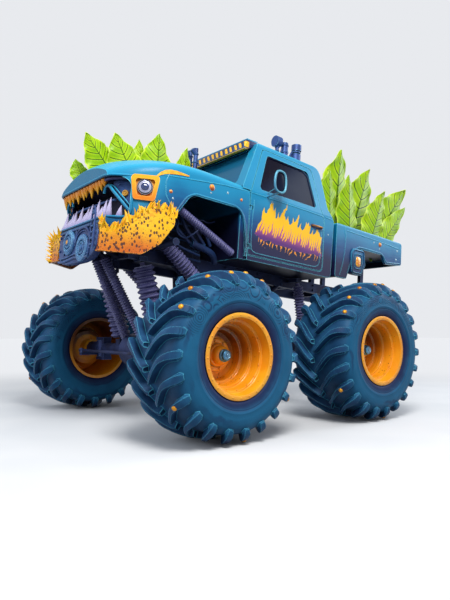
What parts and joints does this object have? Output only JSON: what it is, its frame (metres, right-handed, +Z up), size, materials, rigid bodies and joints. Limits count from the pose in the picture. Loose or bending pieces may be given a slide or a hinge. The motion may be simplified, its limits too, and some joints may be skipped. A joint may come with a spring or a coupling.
{
  "type": "monster truck",
  "caption": "Pickup-bodied monster truck with toothed grille, leaf crests, bellows struts and huge lugged tyres; steers, rolls, doors and tailgate open.",
  "frame": {"origin": "on the ground, under the middle of the truck's overall length and width", "axes": "+X forward to the nose, +Y to the truck's left, +Z up"},
  "size_m": [5.5296, 3.92, 3.775],
  "materials": {
    "body_paint": "satin",
    "window_glass": "gloss",
    "tyre_rubber": "matt",
    "rim_paint": "satin",
    "leaf_green": "satin",
    "guard_yellow": "matt",
    "lamp_orange": "gloss",
    "tooth_white": "gloss",
    "bellows_rubber": "satin",
    "seat_cover": "matt",
    "chassis_paint": "satin",
    "engine_iron": "matt",
    "dark_trim": "satin"
  },
  "bodies": {
    "chassis": {"frame": "chassis_paint", "cradle": "chassis_paint", "tow_points": "chassis_paint", "engine": "engine_iron", "driveline": "engine_iron", "axle_front": "chassis_paint", "axle_rear": "chassis_paint", "suspension_links": "chassis_paint", "coilovers": "bellows_rubber", "bellows_struts": "bellows_rubber", "front_clip": "body_paint", "mouth_liner": "dark_trim", "teeth": "tooth_white", "lamps": "lamp_orange", "chin_guards": "guard_yellow", "snout": "dark_trim", "crest_front": "leaf_green", "crest_rear": "leaf_green", "cab_shell": "body_paint", "fixed_glass": "window_glass", "roof_visor": "dark_trim", "roof_horns": "dark_trim", "intake_stacks": "dark_trim", "seats": "seat_cover", "dashboard": "dark_trim", "bed": "body_paint"},
    "door_left_leaf": {"door_left": "body_paint", "glass_left": "window_glass", "mirror_left": "dark_trim"},
    "door_right_leaf": {"door_right": "body_paint", "glass_right": "window_glass", "mirror_right": "dark_trim"},
    "gate": {"tailgate": "body_paint"},
    "swivel_left": {"knuckle_left": "chassis_paint"},
    "swivel_right": {"knuckle_right": "chassis_paint"},
    "drag_bar": {"tie_rod": "chassis_paint"},
    "hand_wheel": {"steering_wheel": "dark_trim"},
    "wheel_front_left": {"tyre_front_left": "tyre_rubber", "rim_front_left": "rim_paint"},
    "wheel_front_right": {"tyre_front_right": "tyre_rubber", "rim_front_right": "rim_paint"},
    "wheel_rear_left": {"tyre_rear_left": "tyre_rubber", "rim_rear_left": "rim_paint"},
    "wheel_rear_right": {"tyre_rear_right": "tyre_rubber", "rim_rear_right": "rim_paint"}
  },
  "joints": [
    {"name": "steer_left", "type": "hinge", "parent": "chassis", "child": "swivel_left", "pos_m": [1.81777, 1.01, 0.84], "axis": [0, 0, 1], "range_deg": [-25, 25]},
    {"name": "steer_right", "type": "hinge", "parent": "chassis", "child": "swivel_right", "pos_m": [1.81777, -1.01, 0.84], "axis": [0, 0, 1], "range_deg": [-25, 25]},
    {"name": "tie_rod_pin", "type": "hinge", "parent": "swivel_left", "child": "drag_bar", "pos_m": [2.11776, 1.01, 0.82], "axis": [0, 0, 1], "range_deg": [-25, 25]},
    {"name": "steering_wheel_turn", "type": "hinge", "parent": "chassis", "child": "hand_wheel", "pos_m": [0.49058, 0.38, 2.70419], "axis": [-0.9457, 0, 0.3249], "range_deg": [-300, 300]},
    {"name": "spin_front_left", "type": "hinge", "parent": "swivel_left", "child": "wheel_front_left", "pos_m": [1.81777, 1.53, 0.84], "axis": [0, 1, 0], "continuous": true},
    {"name": "spin_front_right", "type": "hinge", "parent": "swivel_right", "child": "wheel_front_right", "pos_m": [1.81777, -1.53, 0.84], "axis": [0, 1, 0], "continuous": true},
    {"name": "spin_rear_left", "type": "hinge", "parent": "chassis", "child": "wheel_rear_left", "pos_m": [-0.41224, 1.53, 0.84], "axis": [0, 1, 0], "continuous": true},
    {"name": "spin_rear_right", "type": "hinge", "parent": "chassis", "child": "wheel_rear_right", "pos_m": [-0.41224, -1.53, 0.84], "axis": [0, 1, 0], "continuous": true},
    {"name": "door_left_swing", "type": "hinge", "parent": "chassis", "child": "door_left_leaf", "pos_m": [0.84996, 0.957, 2.31402], "axis": [0.0872, 0, -0.9962], "range_deg": [0, 65]},
    {"name": "door_right_swing", "type": "hinge", "parent": "chassis", "child": "door_right_leaf", "pos_m": [0.84996, -0.957, 2.31402], "axis": [-0.0872, 0, 0.9962], "range_deg": [0, 65]},
    {"name": "tailgate_drop", "type": "hinge", "parent": "chassis", "child": "gate", "pos_m": [-2.27812, 0, 2.24714], "axis": [0, -1, 0], "range_deg": [0, 90]}
  ],
  "couplings": [
    {"joint": "steer_right", "follows": "steer_left", "ratio": 1},
    {"joint": "tie_rod_pin", "follows": "steer_left", "ratio": -1},
    {"joint": "steering_wheel_turn", "follows": "steer_left", "ratio": -12}
  ]
}
